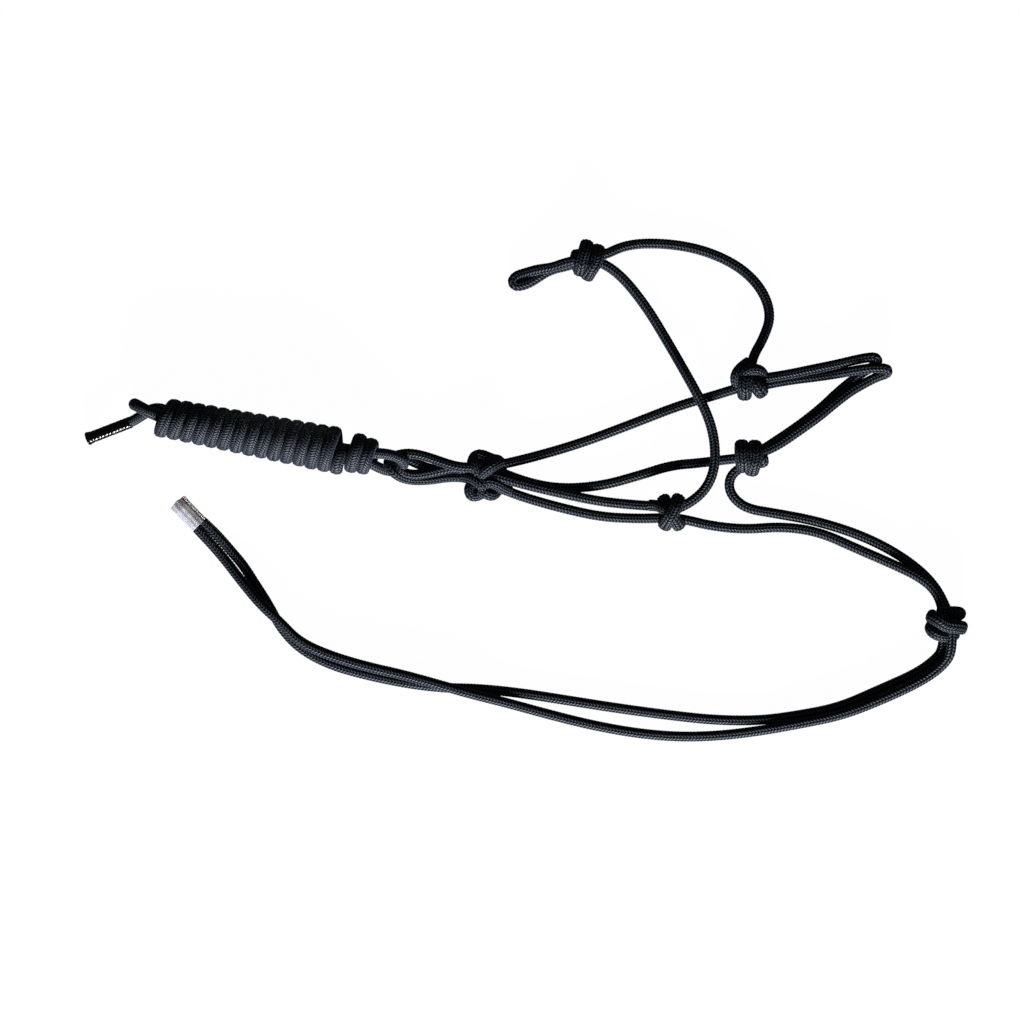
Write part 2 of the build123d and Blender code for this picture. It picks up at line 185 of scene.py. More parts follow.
# Each knot: turns right round it, by their top, face and bottom, and open runs over its face
KNOTS = {
    "tie_loop_knot": (
        [
            ((49, 202.8, 12), (45, 190, 20), (43.5, 181, 11.5)),
            ((58, 198.8, 12), (56.5, 187.5, 20.5), (49, 177.2, 11.5)),
            ((41.5, 194.8, 11), (40, 190, 15.5), (41.5, 185, 10)),
        ],
        [],
    ),
    "nose_knot_left": (
        [
            ((180.5, 96, 13), (178, 87.5, 20.5), (179, 78.5, 12)),
            ((185.5, 92, 13), (188.5, 86, 18.5), (193, 81, 11.5)),
        ],
        [
            [(177, 81.5, 7), (175.5, 88.5, 14), (177.5, 96, 19.5), (182.5, 99.5, 21),
             (188.5, 99.5, 20), (193, 97, 16), (195, 92.5, 9), (192, 88, 6)],
            [(182.5, 106, 12.5), (176.5, 102, 14.5), (172, 96.5, 16), (171, 91, 14), (174.5, 85.5, 9),
             (179.5, 84, 6)],
        ],
    ),
    "throat_knot": (
        [
            ((112.5, -7.5, 12.5), (116.5, -17, 16.5), (125, -28.5, 11.5)),
            ((124, -7, 13), (120, -16.5, 21), (113, -28.5, 12)),
        ],
        [
            [(101, -12, 10), (106.5, -12, 14), (111.5, -14.5, 18), (116, -18.5, 18.5),
             (121.5, -21.5, 14)],
        ],
    ),
    "nose_knot_right": (
        [
            ((176.5, 38, 12.5), (176.5, 28, 20.5), (178, 19, 11.5)),
            ((187, 37.5, 12.5), (187.5, 27.5, 20.5), (184.5, 16, 11.5)),
            ((191, 31, 10.5), (192.5, 27, 14), (193, 23, 10)),
        ],
        [],
    ),
    "crown_knot": (
        [
            ((333, -103, 13), (343, -110.5, 22), (358, -112.5, 13)),
        ],
        [
            [(340.5, -100, 8), (344.5, -100, 14), (350.5, -99.5, 17), (357.5, -100.5, 13),
             (355.5, -103.5, 6), (347.5, -105, 5), (339, -105, 5)],
            [(339, -107.5, 6), (332.5, -111, 8), (331.5, -114.5, 13), (336, -118.5, 16),
             (342.5, -120, 15), (350, -120, 10), (353, -118.5, 6)],
            [(335.5, -104, 7), (337.5, -109, 8), (340.5, -115, 8)],
        ],
    ),
    "fiador_knot": (
        [
            ((-41, 27, 11), (-34, 13.5, 14), (-31, 0, 10)),
        ],
        [
            [(-41, 9, 12), (-38, 13, 18.5), (-33, 17.5, 22.5), (-27, 21.5, 22), (-22, 24, 16),
             (-22, 21, 9), (-26, 17, 5)],
            [(-46.5, 17, 10), (-45.5, 23, 12), (-43.5, 28.5, 13.5), (-38, 29.5, 17), (-32.5, 27, 19.5),
             (-27, 25, 17), (-22.5, 20.5, 14), (-21, 15, 10)],
            [(-39, 29.5, 9), (-42.5, 29, 13), (-43.5, 24.5, 17.5), (-42.5, 18.5, 19), (-40, 13.5, 17),
             (-38.5, 9, 12)],
            [(-52.5, 11.5, 9.5), (-46.5, 10.5, 14), (-41.5, 8.5, 17), (-38, 5, 17.5), (-35, 1.5, 13),
             (-33.5, -2, 8)],
            [(-41, 7, 9), (-46, 5.5, 11.5), (-48, 1, 12), (-46.5, -4, 11.5), (-42.5, -4.5, 10.5),
             (-37.5, -2, 12), (-33.5, 0.5, 14)],
            [(-39, 1.5, 8), (-36, 5.5, 15), (-31, 7.5, 18.5), (-25, 5.5, 17), (-20, 2, 13),
             (-14.5, 0, 10)],
            [(-29, 17, 14), (-25, 13.5, 15.5), (-20, 10, 13.5), (-14.5, 7, 9)],
            [(-44, 15, 13), (-40, 18.5, 17), (-34, 23, 19.5), (-28, 26, 18), (-23.5, 24.5, 13)],
            [(-35, -1, 9), (-30.5, 0, 12.5), (-26, 1, 9)],
            [(-38.5, 0.5, 13), (-34, -2.5, 15.5), (-29.5, -4, 12), (-25.5, -1.5, 9), (-25, 3, 6),
             (-31, 6.5, 5)],
        ],
    ),
}

# The winding: how far along its axis its turns' near and far edges lie, and how far from the axis
HANK_START = (-295.4, 59.5)
HANK_ANGLE = math.radians(-10.8)
HANK_HEADING = np.array((math.cos(HANK_ANGLE), math.sin(HANK_ANGLE), 0.0))
HANK_FIRST_POINT = (-301, 56.5, 5.4)  # under the first turn, where the tail begins
HANK_TURNS = 15
NEAR_FIRST, NEAR_PITCH = -3.6, 10.52
FAR_FIRST, FAR_PITCH = 3.5, 10.26
HANK_R_FIRST, HANK_R_GROWTH = 12.8, 0.21
HANK_R_LINE = HANK_R_FIRST + LEAD_D / 2  # the axis's height over the floor
END_TURNS = [(146.5, 2.5), (155.2, 12.2), (158.1, 13.8), (165.1, 11.5), (167.9, 11.5)]
POINTS_HALF_TURN = 7

# The crimped sleeve: its mouth, its headings and its sizes
FERRULE_MOUTH = np.array((-270.8, -28.3, 5.0))
FERRULE_ALONG = np.array((-0.696, 0.718, 0.0))
FERRULE_ACROSS = np.array((0.718, 0.696, 0.0))
FERRULE_LENGTH = 27.0
FERRULE_HALF_WIDTH, FERRULE_HALF_HEIGHT = 7.75, 4.9
FERRULE_LAP_FROM, FERRULE_LAP_HEIGHT = 5.9, 0.5
FERRULE_LAP_TURN = 0.125  # the lap's share of a turn round the sleeve
FERRULE_SHADE_TURNS = 0.15  # over which the painted shade beside the lap fades

# The shrunk sleeve on the lead's free end
END_SLEEVE_START, END_SLEEVE_END = np.array((-327.3, 56.4, 10.4)), np.array((-363.4, 42.8, 5.9))
END_SLEEVE_R, END_SLEEVE_FLARE = 4.82, 0.75


# ---------------------------------------------------------------- camera, floor and light

def add_camera():
    """Straight down on the halter, with a long lens."""
    camera_data = bpy.data.cameras.new("camera")
    camera_data.sensor_width = 36
    camera_data.lens = camera_data.sensor_width * (CAMERA_PLACE[2] - FIELD_LEVEL) / FIELD_WIDTH
    camera = bpy.data.objects.new("camera", camera_data)
    camera.location = CAMERA_PLACE
    bpy.context.scene.collection.objects.link(camera)
    bpy.context.scene.camera = camera


def add_light(name, kind, place, aim, power, colour):
    """A light that faces the aim. Its data is returned, for the settings of its kind."""
    light_data = bpy.data.lights.new(name, kind)
    light_data.energy = power
    light_data.color = colour
    light = bpy.data.objects.new(name, light_data)
    light.location = place
    direction = Vector(aim) - light.location
    light.rotation_euler = direction.to_track_quat("-Z", "Y").to_euler()
    bpy.context.scene.collection.objects.link(light)
    return light_data


def add_lights():
    """A soft light low on the near side, and two narrow ones that fall on the ferrule and little else."""
    near = add_light("near_light", "AREA", (0.1, -2.4, 0.54), (0, 0, 0), 170, (0.86, 0.93, 1))
    near.size = 0.8
    for name, place, aim, cone, power, colour in (
            ("ferrule_light", (-0.44, -0.22, 1.05), (-0.281, -0.018, 0.006), 2.5, 34, (0.96, 0.95, 1)),
            ("ferrule_rim_light", (0.20, 0.42, 0.30), (-0.274, -0.012, 0.005), 3.2, 24,
             (1, 0.93, 0.84))):
        spot = add_light(name, "SPOT", place, aim, power, colour)
        spot.spot_size = math.radians(cone)
        spot.spot_blend = 0.6
        spot.shadow_soft_size = 0.04


def studio_surface(name, mesh, glow, base):
    """A white surface that sends no light back onto the rope."""
    surface = bpy.data.objects.new(name, mesh)
    bpy.context.scene.collection.objects.link(surface)
    material = bpy.data.materials.new(name)
    material.use_nodes = True
    shader = material.node_tree.nodes["Principled BSDF"]
    shader.inputs["Base Color"].default_value = (base, base, base, 1)
    shader.inputs["Roughness"].default_value = 1.0
    shader.inputs["Specular IOR Level"].default_value = 0.0
    shader.inputs["Emission Color"].default_value = (1, 1, 1, 1)
    shader.inputs["Emission Strength"].default_value = glow
    mesh.materials.append(material)
    surface.visible_diffuse = False
    surface.visible_glossy = False
    return surface


def add_studio():
    """A white floor with faint shadows under a white dome, and a faint bluish fill from all round."""
    half = 5.0
    mesh = bpy.data.meshes.new("floor")
    mesh.from_pydata([(-half, -half, 0), (half, -half, 0), (half, half, 0), (-half, half, 0)], [],
                     [(0, 1, 2, 3)])
    studio_surface("floor", mesh, glow=0.985, base=0.05).location = (0, 0, -0.0002)
    rings, sides, reach = 9, 48, 4.9
    corners, faces = [], []
    for ring in range(rings + 1):
        lift = 0.5 * math.pi * ring / rings
        for turn in range(sides):
            angle = 2 * math.pi * turn / sides
            corners.append((reach * math.cos(lift) * math.cos(angle),
                            reach * math.cos(lift) * math.sin(angle),
                            reach * math.sin(lift) - 0.001))
    for ring in range(rings):
        for turn in range(sides):
            after = (turn + 1) % sides
            faces.append((ring * sides + turn, ring * sides + after,
                          (ring + 1) * sides + after, (ring + 1) * sides + turn))
    dome_mesh = bpy.data.meshes.new("surround")
    dome_mesh.from_pydata(corners, [], faces)
    dome = studio_surface("surround", dome_mesh, glow=1.0, base=0.0)
    dome.visible_shadow = False
    world = bpy.data.worlds.new("fill")
    world.use_nodes = True
    world.node_tree.nodes["Background"].inputs["Color"].default_value = (0.93, 0.96, 1, 1)
    world.node_tree.nodes["Background"].inputs["Strength"].default_value = 0.06
    bpy.context.scene.world = world
    bpy.context.scene.view_settings.view_transform = "Standard"


# ---------------------------------------------------------------- materials

class Maths:
    """A new material with its shader and its rope UV, and short names for its nodes.

    The UV's two parts are the turn round the rope and the millimetres along it.
    """

    def __init__(self, name):
        self.material = bpy.data.materials.new(name)
        self.material.use_nodes = True
        self.tree = self.material.node_tree
        self.shader = self.tree.nodes["Principled BSDF"]
        self.uv = self.node("ShaderNodeUVMap", uv_map="rope").outputs[0]
        parts = self.node("ShaderNodeSeparateXYZ")
        self.tree.links.new(self.uv, parts.inputs[0])
        self.around, self.along = parts.outputs[0], parts.outputs[1]
        self.place = self.node("ShaderNodeTexCoord").outputs["Object"]

    def node(self, kind, **settings):
        made = self.tree.nodes.new(kind)
        for name, value in settings.items():
            setattr(made, name, value)
        return made

    def link(self, value, socket):
        if isinstance(value, (int, float)):
            socket.default_value = value
        else:
            self.tree.links.new(value, socket)

    def do(self, operation, *values):
        made = self.node("ShaderNodeMath", operation=operation)
        for value, socket in zip(values, made.inputs):
            self.link(value, socket)
        return made.outputs[0]

    def mix(self, factor, low, high):
        made = self.node("ShaderNodeMix", data_type="RGBA")
        self.link(factor, made.inputs[0])
        for colour, socket in ((low, made.inputs[6]), (high, made.inputs[7])):
            if isinstance(colour, tuple):
                socket.default_value = (*colour, 1)
            else:
                self.tree.links.new(colour, socket)
        return made.outputs[2]

    def noise(self, vector, scale, detail=3.0):
        made = self.node("ShaderNodeTexNoise")
        made.inputs["Scale"].default_value = scale
        made.inputs["Detail"].default_value = detail
        self.tree.links.new(vector, made.inputs["Vector"])
        return made.outputs["Fac"]

    def shade(self, socket, value):
        """The value goes into that socket of the shader."""
        self.tree.links.new(value, self.shader.inputs[socket])

    def bump(self, height, strength, distance):
        made = self.node("ShaderNodeBump")
        made.inputs["Strength"].default_value = strength
        made.inputs["Distance"].default_value = distance
        self.tree.links.new(height, made.inputs["Height"])
        self.shade("Normal", made.outputs[0])


def rope_material(name, braid, light, fibre_strength, roughness):
    """Braided black cord, with painted shade between its stitches: its colour is darkest there and lightest
    on their crowns.
    """
    stitch, slope, columns, square = braid
    m = Maths(name)
    column = m.do("MULTIPLY", m.around, columns)
    side = m.do("SUBTRACT", m.do("MULTIPLY", m.do("FLOORED_MODULO", m.do("FLOOR", column), 2), 2), 1)
    across = m.do("SUBTRACT", m.do("FRACT", column), 0.5)
    lean = m.do("MULTIPLY", m.do("MULTIPLY", side, across), slope)
    rows = m.do("ADD", m.do("DIVIDE", m.along, stitch), lean)
    row = m.do("SUBTRACT", m.do("FRACT", rows), 0.5)
    row_round = m.do("SUBTRACT", 1, m.do("POWER", m.do("ABSOLUTE", m.do("MULTIPLY", row, 2)), 2.0))
    column_round = m.do("SUBTRACT", 1,
                        m.do("POWER", m.do("ABSOLUTE", m.do("MULTIPLY", across, 2)), square))
    crown = m.do("MULTIPLY", row_round, column_round)
    fibres = m.do("SINE", m.do("MULTIPLY", m.do("ADD", row, m.do("MULTIPLY", across, 0.12)), 26))
    fuzz = m.noise(m.place, 2600, 2)
    patches = m.noise(m.place, 55, 3)
    crest = m.do("POWER", crown, 2.4)
    tone = m.do("MULTIPLY", crest, m.do("ADD", 0.62, m.do("MULTIPLY", patches, 0.7)))
    tone = m.do("ADD", tone, m.do("MULTIPLY", m.do("SUBTRACT", fuzz, 0.5), 0.3))
    tone = m.do("MINIMUM", m.do("MAXIMUM", tone, 0), 1)
    # Painted shade: the colour runs from near black between the stitches to the crown colour on their
    # crowns.
    m.shade("Base Color", m.mix(tone, (0.0008, 0.0008, 0.001), light))
    m.shade("Roughness", m.do("ADD", roughness, m.do("MULTIPLY", m.do("SUBTRACT", patches, 0.5), 0.16)))
    m.shade("Specular IOR Level", m.do("MULTIPLY", m.do("POWER", crown, 2.0), 0.65))
    m.shade("Sheen Weight", m.do("MULTIPLY", crest, 0.35))
    height = m.do("ADD", crown,
                  m.do("ADD", m.do("MULTIPLY", fibres, fibre_strength), m.do("MULTIPLY", fuzz, 0.12)))
    m.bump(height, 0.7, 0.0005)
    m.shader.inputs["Sheen Roughness"].default_value = 0.4
    m.shader.inputs["Sheen Tint"].default_value = (0.62, 0.72, 0.95, 1)
    return m.material


def metal_material():
    """Brushed aluminium with fine streaks, darkened beside its lap by painted shade; the lap itself is
    paler, a painted highlight.
    """
    m = Maths("ferrule_metal")
    stretch = m.node("ShaderNodeMapping")
    stretch.inputs["Scale"].default_value = (28, 0.05, 1)
    m.tree.links.new(m.uv, stretch.inputs[0])
    streaks = m.noise(stretch.outputs[0], 1.0, 2)
    lap = m.do("LESS_THAN", m.around, FERRULE_LAP_TURN)
    # Painted shade: beside the lap the metal is painted a dark brown, fading out round the sleeve.
    past_lap = m.do("DIVIDE", m.do("SUBTRACT", m.around, FERRULE_LAP_TURN + 0.005), FERRULE_SHADE_TURNS)
    painted_shade = m.do("SUBTRACT", 1, m.do("MINIMUM", m.do("MAXIMUM", past_lap, 0), 1))
    grey = m.mix(streaks, (0.43, 0.41, 0.43), (0.82, 0.80, 0.83))
    shade_brown = m.mix(streaks, (0.085, 0.058, 0.050), (0.17, 0.135, 0.12))
    # Painted highlight: the lap is painted a pale cream.
    lap_highlight = m.mix(streaks, (0.78, 0.73, 0.64), (0.95, 0.91, 0.82))
    m.shade("Base Color", m.mix(lap, m.mix(painted_shade, grey, shade_brown), lap_highlight))
    m.shade("Roughness", m.do("ADD", 0.42, m.do("MULTIPLY", streaks, 0.25)))
    m.bump(m.noise(m.place, 190, 2), 0.06, 0.0003)
    m.shader.inputs["Metallic"].default_value = 0.25
    return m.material


def sleeve_material():
    """Glossy black shrunk sleeve that shows the braid under it as a row of soft beads."""
    m = Maths("end_sleeve")
    rings = m.do("SINE", m.do("MULTIPLY", m.along, 2 * math.pi / BEAD_PITCH))
    ribs = m.do("SINE", m.do("MULTIPLY", m.around, 2 * math.pi * LEAD_BRAID[2]))
    scuffs = m.noise(m.place, 900, 3)
    height = m.do("ADD", m.do("MULTIPLY", m.do("MULTIPLY", rings, ribs), 0.45),
                  m.do("ADD", m.do("MULTIPLY", rings, 0.3), m.do("MULTIPLY", scuffs, 0.3)))
    m.bump(height, 0.3, 0.0003)
    m.shade("Base Color", m.mix(scuffs, (0.001, 0.001, 0.001), (0.003, 0.003, 0.003)))
    m.shade("Roughness", m.do("ADD", 0.10, m.do("MULTIPLY", scuffs, 0.10)))
    m.shader.inputs["Specular IOR Level"].default_value = 0.35
    return m.material


# ---------------------------------------------------------------- ropes

def smooth_line(route, closed=False):
    """Points, in metres, on the smooth line that has the route's points as its control points."""
    curve = bpy.data.curves.new("line", "CURVE")
    curve.dimensions = "3D"
    curve.resolution_u = 24
    spline = curve.splines.new("NURBS")
    spline.points.add(len(route) - 1)
    for point, place in zip(spline.points, route):
        point.co = (*(float(value) * MM for value in place), 1)
    spline.order_u = 3
    if closed:
        spline.use_cyclic_u = True
    else:
        spline.use_endpoint_u = True
    holder = bpy.data.objects.new("line", curve)
    mesh = bpy.data.meshes.new_from_object(holder)
    places = np.array([vertex.co for vertex in mesh.vertices])
    bpy.data.objects.remove(holder)
    bpy.data.curves.remove(curve)
    bpy.data.meshes.remove(mesh)
    return places


def evenly(places, step, closed=False):
    """The same line with points a step apart, and the distance along it at each."""
    if closed:
        places = np.vstack([places, places[:1]])
    keep = np.r_[True, np.linalg.norm(np.diff(places, axis=0), axis=1) > 1e-7]
    places = places[keep]
    distance = np.r_[0, np.cumsum(np.linalg.norm(np.diff(places, axis=0), axis=1))]
    count = max(8, int(round(distance[-1] / step)))
    along = np.linspace(0, distance[-1], count + 1)
    even = np.column_stack([np.interp(along, distance, places[:, k]) for k in range(3)])
    if closed:
        even, along = even[:-1], along[:-1]
    return even, along


def smoothed(even, closed, rounds=3):
    """Takes the small corners out of a line's points."""
    for _ in range(rounds):
        if closed:
            even = (np.roll(even, 1, 0) + 2 * even + np.roll(even, -1, 0)) / 4
        else:
            even[1:-1] = (even[:-2] + 2 * even[1:-1] + even[2:]) / 4
    return even


def headings(even, closed):
    """The line's direction at each point."""
    forward = np.roll(even, -1, 0) - np.roll(even, 1, 0) if closed else np.gradient(even, axis=0)
    return forward / np.linalg.norm(forward, axis=1)[:, None]


def frames(even, closed):
    """A side and an up direction at each point, turned as little as possible from one to the next."""
    forward = headings(even, closed)
    up = np.zeros_like(forward)
    start = np.array((0.0, 0.0, 1.0))
    if abs(forward[0] @ start) > 0.9:
        start = np.array((1.0, 0.0, 0.0))
    up[0] = start - forward[0] * (forward[0] @ start)
    up[0] /= np.linalg.norm(up[0])
    for index in range(1, len(even)):
        turned = up[index - 1] - forward[index] * (forward[index] @ up[index - 1])
        up[index] = turned / np.linalg.norm(turned)
    side = np.cross(up, forward)
    if closed:
        turned = up[-1] - forward[0] * (forward[0] @ up[-1])
        slip = math.atan2(float(turned @ side[0]), float(turned @ up[0]))
        twist = -slip * np.arange(len(even)) / len(even)
        cosine, sine = np.cos(twist)[:, None], np.sin(twist)[:, None]
        up, side = cosine * up + sine * side, cosine * side - sine * up
    return side, up


def braid_height(around, along, braid):
    """How high the braid stands at a turn round the rope and millimetres along it, from 0 to 1."""
    stitch, slope, columns, square = braid
    column = around * columns
    side = (np.floor(column) % 2) * 2 - 1
    across = column - np.floor(column) - 0.5
    rows = along / stitch + side * across * slope
    row = rows - np.floor(rows) - 0.5
    return (1 - np.abs(2 * row) ** 2.0) * (1 - np.abs(2 * across) ** square)


def link_mesh(name, corners, faces, uvs, material):
    """A smooth mesh object from corner places, faces and a UV for each face corner."""
    mesh = bpy.data.meshes.new(name)
    mesh.from_pydata(corners.tolist(), [], faces)
    mesh.polygons.foreach_set("use_smooth", [True] * len(mesh.polygons))
    layer = mesh.uv_layers.new(name="rope")
    layer.data.foreach_set("uv", np.asarray(uvs, np.float32).ravel())
    mesh.materials.append(material)
    piece = bpy.data.objects.new(name, mesh)
    bpy.context.scene.collection.objects.link(piece)
    return piece


def squarer(share, power):
    """A cosine or sine, from -1 to 1, changed so that the round it draws is fuller at its corners."""
    return np.sign(share) * np.abs(share) ** power


def pressed_flat(offsets, even, middles, closed, spread, flatten):
    """Makes a round rope wide and flat where it is pulled tight round the line of middles."""
    forward = headings(even, closed)
    outward = even - middles
    outward -= forward * np.sum(forward * outward, axis=1)[:, None]
    outward /= np.linalg.norm(outward, axis=1)[:, None]
    reach = np.linalg.norm(offsets, axis=2, keepdims=True)
    sideways = np.cross(forward, outward)[:, None]
    outward = outward[:, None]
    rise = np.sum(offsets * outward, axis=2, keepdims=True) / reach
    width = np.sum(offsets * sideways, axis=2, keepdims=True) / reach
    return reach * (squarer(rise, 0.85) * flatten * outward + squarer(width, 0.85) * spread * sideways)


def tube(even, along, radii, braid, sides, closed=False, pressed=None):
    """Corners, faces and UVs of a braided rope round a line. radii holds its radius at each point.

    pressed holds the line that the rope is pulled tight round, and its spread and thickness.
    """
    side, up = frames(even, closed)
    turns = np.arange(sides) / sides
    angle = 2 * np.pi * turns
    along_mm = along / MM
    lift = RELIEF * (braid_height(turns[None] + 1e-6, along_mm[:, None], braid) - 0.7)
    reach = radii[:, None] + lift
    ring = (np.cos(angle)[None, :, None] * side[:, None] + np.sin(angle)[None, :, None] * up[:, None])
    offsets = reach[:, :, None] * ring
    if pressed is not None:
        offsets = pressed_flat(offsets, even, pressed[0], closed, *pressed[1])
    corners = even[:, None] + offsets
    corners[:, :, 2] = np.maximum(corners[:, :, 2], FLOOR_GAP)
    count = len(even)
    corners = corners.reshape(-1, 3)
    rows = count if closed else count - 1
    i, j = np.meshgrid(np.arange(rows), np.arange(sides), indexing="ij")
    i, j = i.ravel(), j.ravel()
    i_next, j_next = (i + 1) % count, (j + 1) % sides
    faces = np.column_stack([i * sides + j, i * sides + j_next, i_next * sides + j_next,
                             i_next * sides + j])
    step = along_mm[1] - along_mm[0]
    low, high = along_mm[i], along_mm[i] + step
    u, u_next = turns[j], turns[j] + 1 / sides
    uvs = np.stack([np.column_stack([u, low]), np.column_stack([u_next, low]),
                    np.column_stack([u_next, high]), np.column_stack([u, high])], axis=1)
    faces = faces.tolist()
    uvs = uvs.reshape(-1, 2)
    if not closed:
        first, last = len(corners), len(corners) + 1
        corners = np.vstack([corners, even[:1], even[-1:]])
        caps = []
        for j0 in range(sides):
            j1 = (j0 + 1) % sides
            faces.append([first, j1, j0])
            faces.append([last, (count - 1) * sides + j0, (count - 1) * sides + j1])
            middle, edge0, edge1 = (0.0, 0.0), (turns[j0], 0.4), (turns[j0] + 1 / sides, 0.4)
            caps += [middle, edge1, edge0, middle, edge0, edge1]
        uvs = np.vstack([uvs, np.array(caps)])
    return corners, faces, uvs


def rope(name, route, diameter, material, braid, radii_at=None, sides=40, pressed_round=None):
    """A braided rope along a route, its line's points and its length."""
    line, _ = evenly(smooth_line(route), STEP)
    even, along = evenly(smoothed(line, False), STEP)
    radii = np.full(len(even), FULLNESS * diameter / 2 * MM)
    if radii_at is not None:
        radii = radii_at(even, along)
    pressed = None if pressed_round is None else (pressed_round(even), PRESSED_LEAD)
    piece = link_mesh(name, *tube(even, along, radii, braid, sides, pressed=pressed), material)
    return piece, even, float(along[-1])


def halter_cord(name, route, radii_at=None):
    """One stretch of the halter's cord, made in place of its hidden CAD part. It still has to be tied to a
    body.
    """
    piece, line, length = rope(name + "_rope", route, CORD_D, CORD_MATERIAL, CORD_BRAID, radii_at)
    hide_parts(name)
    return piece


def swinging_cord(name, route, radii_at=None):
    """A stretch of the halter's cord that crosses the joint between two bodies."""
    piece = halter_cord(name, route, radii_at)
    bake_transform(piece)


# ---------------------------------------------------------------- knots

def turn_round(top, face, bottom, under=4.7):
    """The control points of a turn of cord over a knot's face and back underneath it, in millimetres."""
    top, face, bottom = (np.array(point, float) for point in (top, face, bottom))
    reach = 0.09 * (top - bottom)  # past its ends, because the smooth line cuts its corners
    points = [top + reach, top * 0.55 + face * 0.45, face, bottom * 0.55 + face * 0.45,
              bottom - reach, bottom * 0.6 + face * 0.4, top * 0.6 + face * 0.4]
    for point in (points[1], points[3]):
        point[2] = face[2]
    for point in (points[5], points[6]):
        point[2] = under
    return points


def tied_knot(name, body):
    """A knot of turns and runs of cord, joined into one piece."""
    turns, runs = KNOTS[name]
    meshes = []
    for route, closed in [(turn_round(*turn), True) for turn in turns] + [(run, False) for run in runs]:
        line, _ = evenly(smooth_line(route, closed), STEP, closed)
        even, along = evenly(smoothed(line, closed, 5), STEP, closed)
        radii = np.full(len(even), (KNOT_TURN_R if closed else KNOT_RUN_R) * MM)
        pressed = (even.mean(axis=0)[None], PRESSED_TURN) if closed else None
        meshes.append(tube(even, along, radii, KNOT_BRAID, 48, closed, pressed))
    corners, faces, uvs, start = [], [], [], 0
    for mesh_corners, mesh_faces, mesh_uvs in meshes:
        corners.append(mesh_corners)
        faces += [[start + corner for corner in face] for face in mesh_faces]
        uvs.append(mesh_uvs)
        start += len(mesh_corners)
    knot = link_mesh(name + "_cord", np.vstack(corners), faces, np.vstack(uvs), KNOT_MATERIAL)
    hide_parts(name)
    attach(knot, body)


# ---------------------------------------------------------------- the halter's cords

def pressed_loop(even, along):
    """The tie loop's radius: its two legs are pressed together and a little fuller at its tip."""
    return (FULLNESS + 0.09 * np.clip((16 - even[:, 0] / MM) / 8, 0, 1)) * CORD_D / 2 * MM


def add_left_side():
    """The cords that meet at the tie-loop knot."""
    swinging_cord("cheek_left", CHEEK_LEFT)
    swinging_cord("throat_left", THROAT_LEFT)
    swinging_cord("tie_loop", TIE_LOOP, pressed_loop)


def add_chin_and_throat():
    """The cords that lie still with the halter's base."""
    for name, route in (("chin_left", CHIN_LEFT), ("chin_right", CHIN_RIGHT),
                        ("fiador_strand_upper", FIADOR_STRAND_UPPER),
                        ("fiador_strand_lower", FIADOR_STRAND_LOWER),
                        ("cheek_right", CHEEK_RIGHT), ("throat_right", THROAT_RIGHT)):
        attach(halter_cord(name, route), "halter_base")


def add_noseband():
    """The noseband's two cords, each folded back on itself."""
    for name, route in (("noseband_strand_outer", NOSEBAND_STRAND_OUTER),
                        ("noseband_strand_inner", NOSEBAND_STRAND_INNER)):
        swinging_cord(name, route)


def into_ferrule(even, along):
    """The crown tails' radius: full width, squeezed over the last stretch inside the sleeve."""
    left = (along[-1] - along) / MM
    return (FULLNESS * CORD_D / 2 - 0.6 * np.clip((9 - left) / 6, 0, 1)) * MM


def add_crown_tails():
    """The two long cords from the crown knot into the ferrule."""
    for name, route in (("crown_tail_a", CROWN_TAIL_A), ("crown_tail_b", CROWN_TAIL_B)):
        swinging_cord(name, route, into_ferrule)


# ---------------------------------------------------------------- ferrule and end sleeve

def ring_mesh(name, rings, lengths, middle_uv, material):
    """A mesh of rings of corners, millimetres, closed by a fan at the last one."""
    rings = np.array(rings)
    count, sides = rings.shape[:2]
    faces, uvs = [], []
    for i in range(count - 1):
        for j in range(sides):
            k = (j + 1) % sides
            faces.append([i * sides + j, i * sides + k, (i + 1) * sides + k, (i + 1) * sides + j])
            uvs += [(j / sides, lengths[i]), ((j + 1) / sides, lengths[i]),
                    ((j + 1) / sides, lengths[i + 1]), (j / sides, lengths[i + 1])]
    middle = count * sides
    for j in range(sides):
        faces.append([middle, (count - 1) * sides + j, (count - 1) * sides + (j + 1) % sides])
        uvs += [middle_uv, (j / sides, lengths[-1]), ((j + 1) / sides, lengths[-1])]
    corners = np.vstack([rings.reshape(-1, 3), rings[-1].mean(axis=0)[None]]) * MM
    corners[:, 2] = np.maximum(corners[:, 2], FLOOR_GAP)
    return link_mesh(name, corners, faces, np.array(uvs), material)


def ferrule_ring(distance, inset, angle):
    """The ferrule's outline at a distance from its mouth, in by the inset: an oval with a lap and ridges."""
    pinch = max(0.0, (distance - 19.0) / 8.0) ** 1.3
    crimp = 0.12 * sum(math.exp(-((distance - middle) / 2.2) ** 2) for middle in (8.5, 15.5))
    half_width = FERRULE_HALF_WIDTH + 0.35 * pinch - inset
    half_height = FERRULE_HALF_HEIGHT - 1.5 * pinch - crimp - inset
    side = half_width * squarer(np.cos(angle), 0.8)
    rise = half_height * squarer(np.sin(angle), 0.8)
    rise += (0.22 + 0.25 * pinch) * np.sin(side * 1.5 + 0.6) * np.sin(angle)
    if inset == 0:
        rise += FERRULE_LAP_HEIGHT * np.clip((side - FERRULE_LAP_FROM) / 0.3, 0, 1) * (np.sin(angle) > 0)
    rise = np.maximum(rise, 0.05 - FERRULE_MOUTH[2])
    slant = pinch * (0.35 * np.cos(side * 0.8) - 1.7 * np.abs(side / 8) ** 4)
    return (FERRULE_MOUTH + (distance + slant)[:, None] * FERRULE_ALONG + side[:, None] * FERRULE_ACROSS
            + rise[:, None] * np.array((0.0, 0.0, 1.0)))


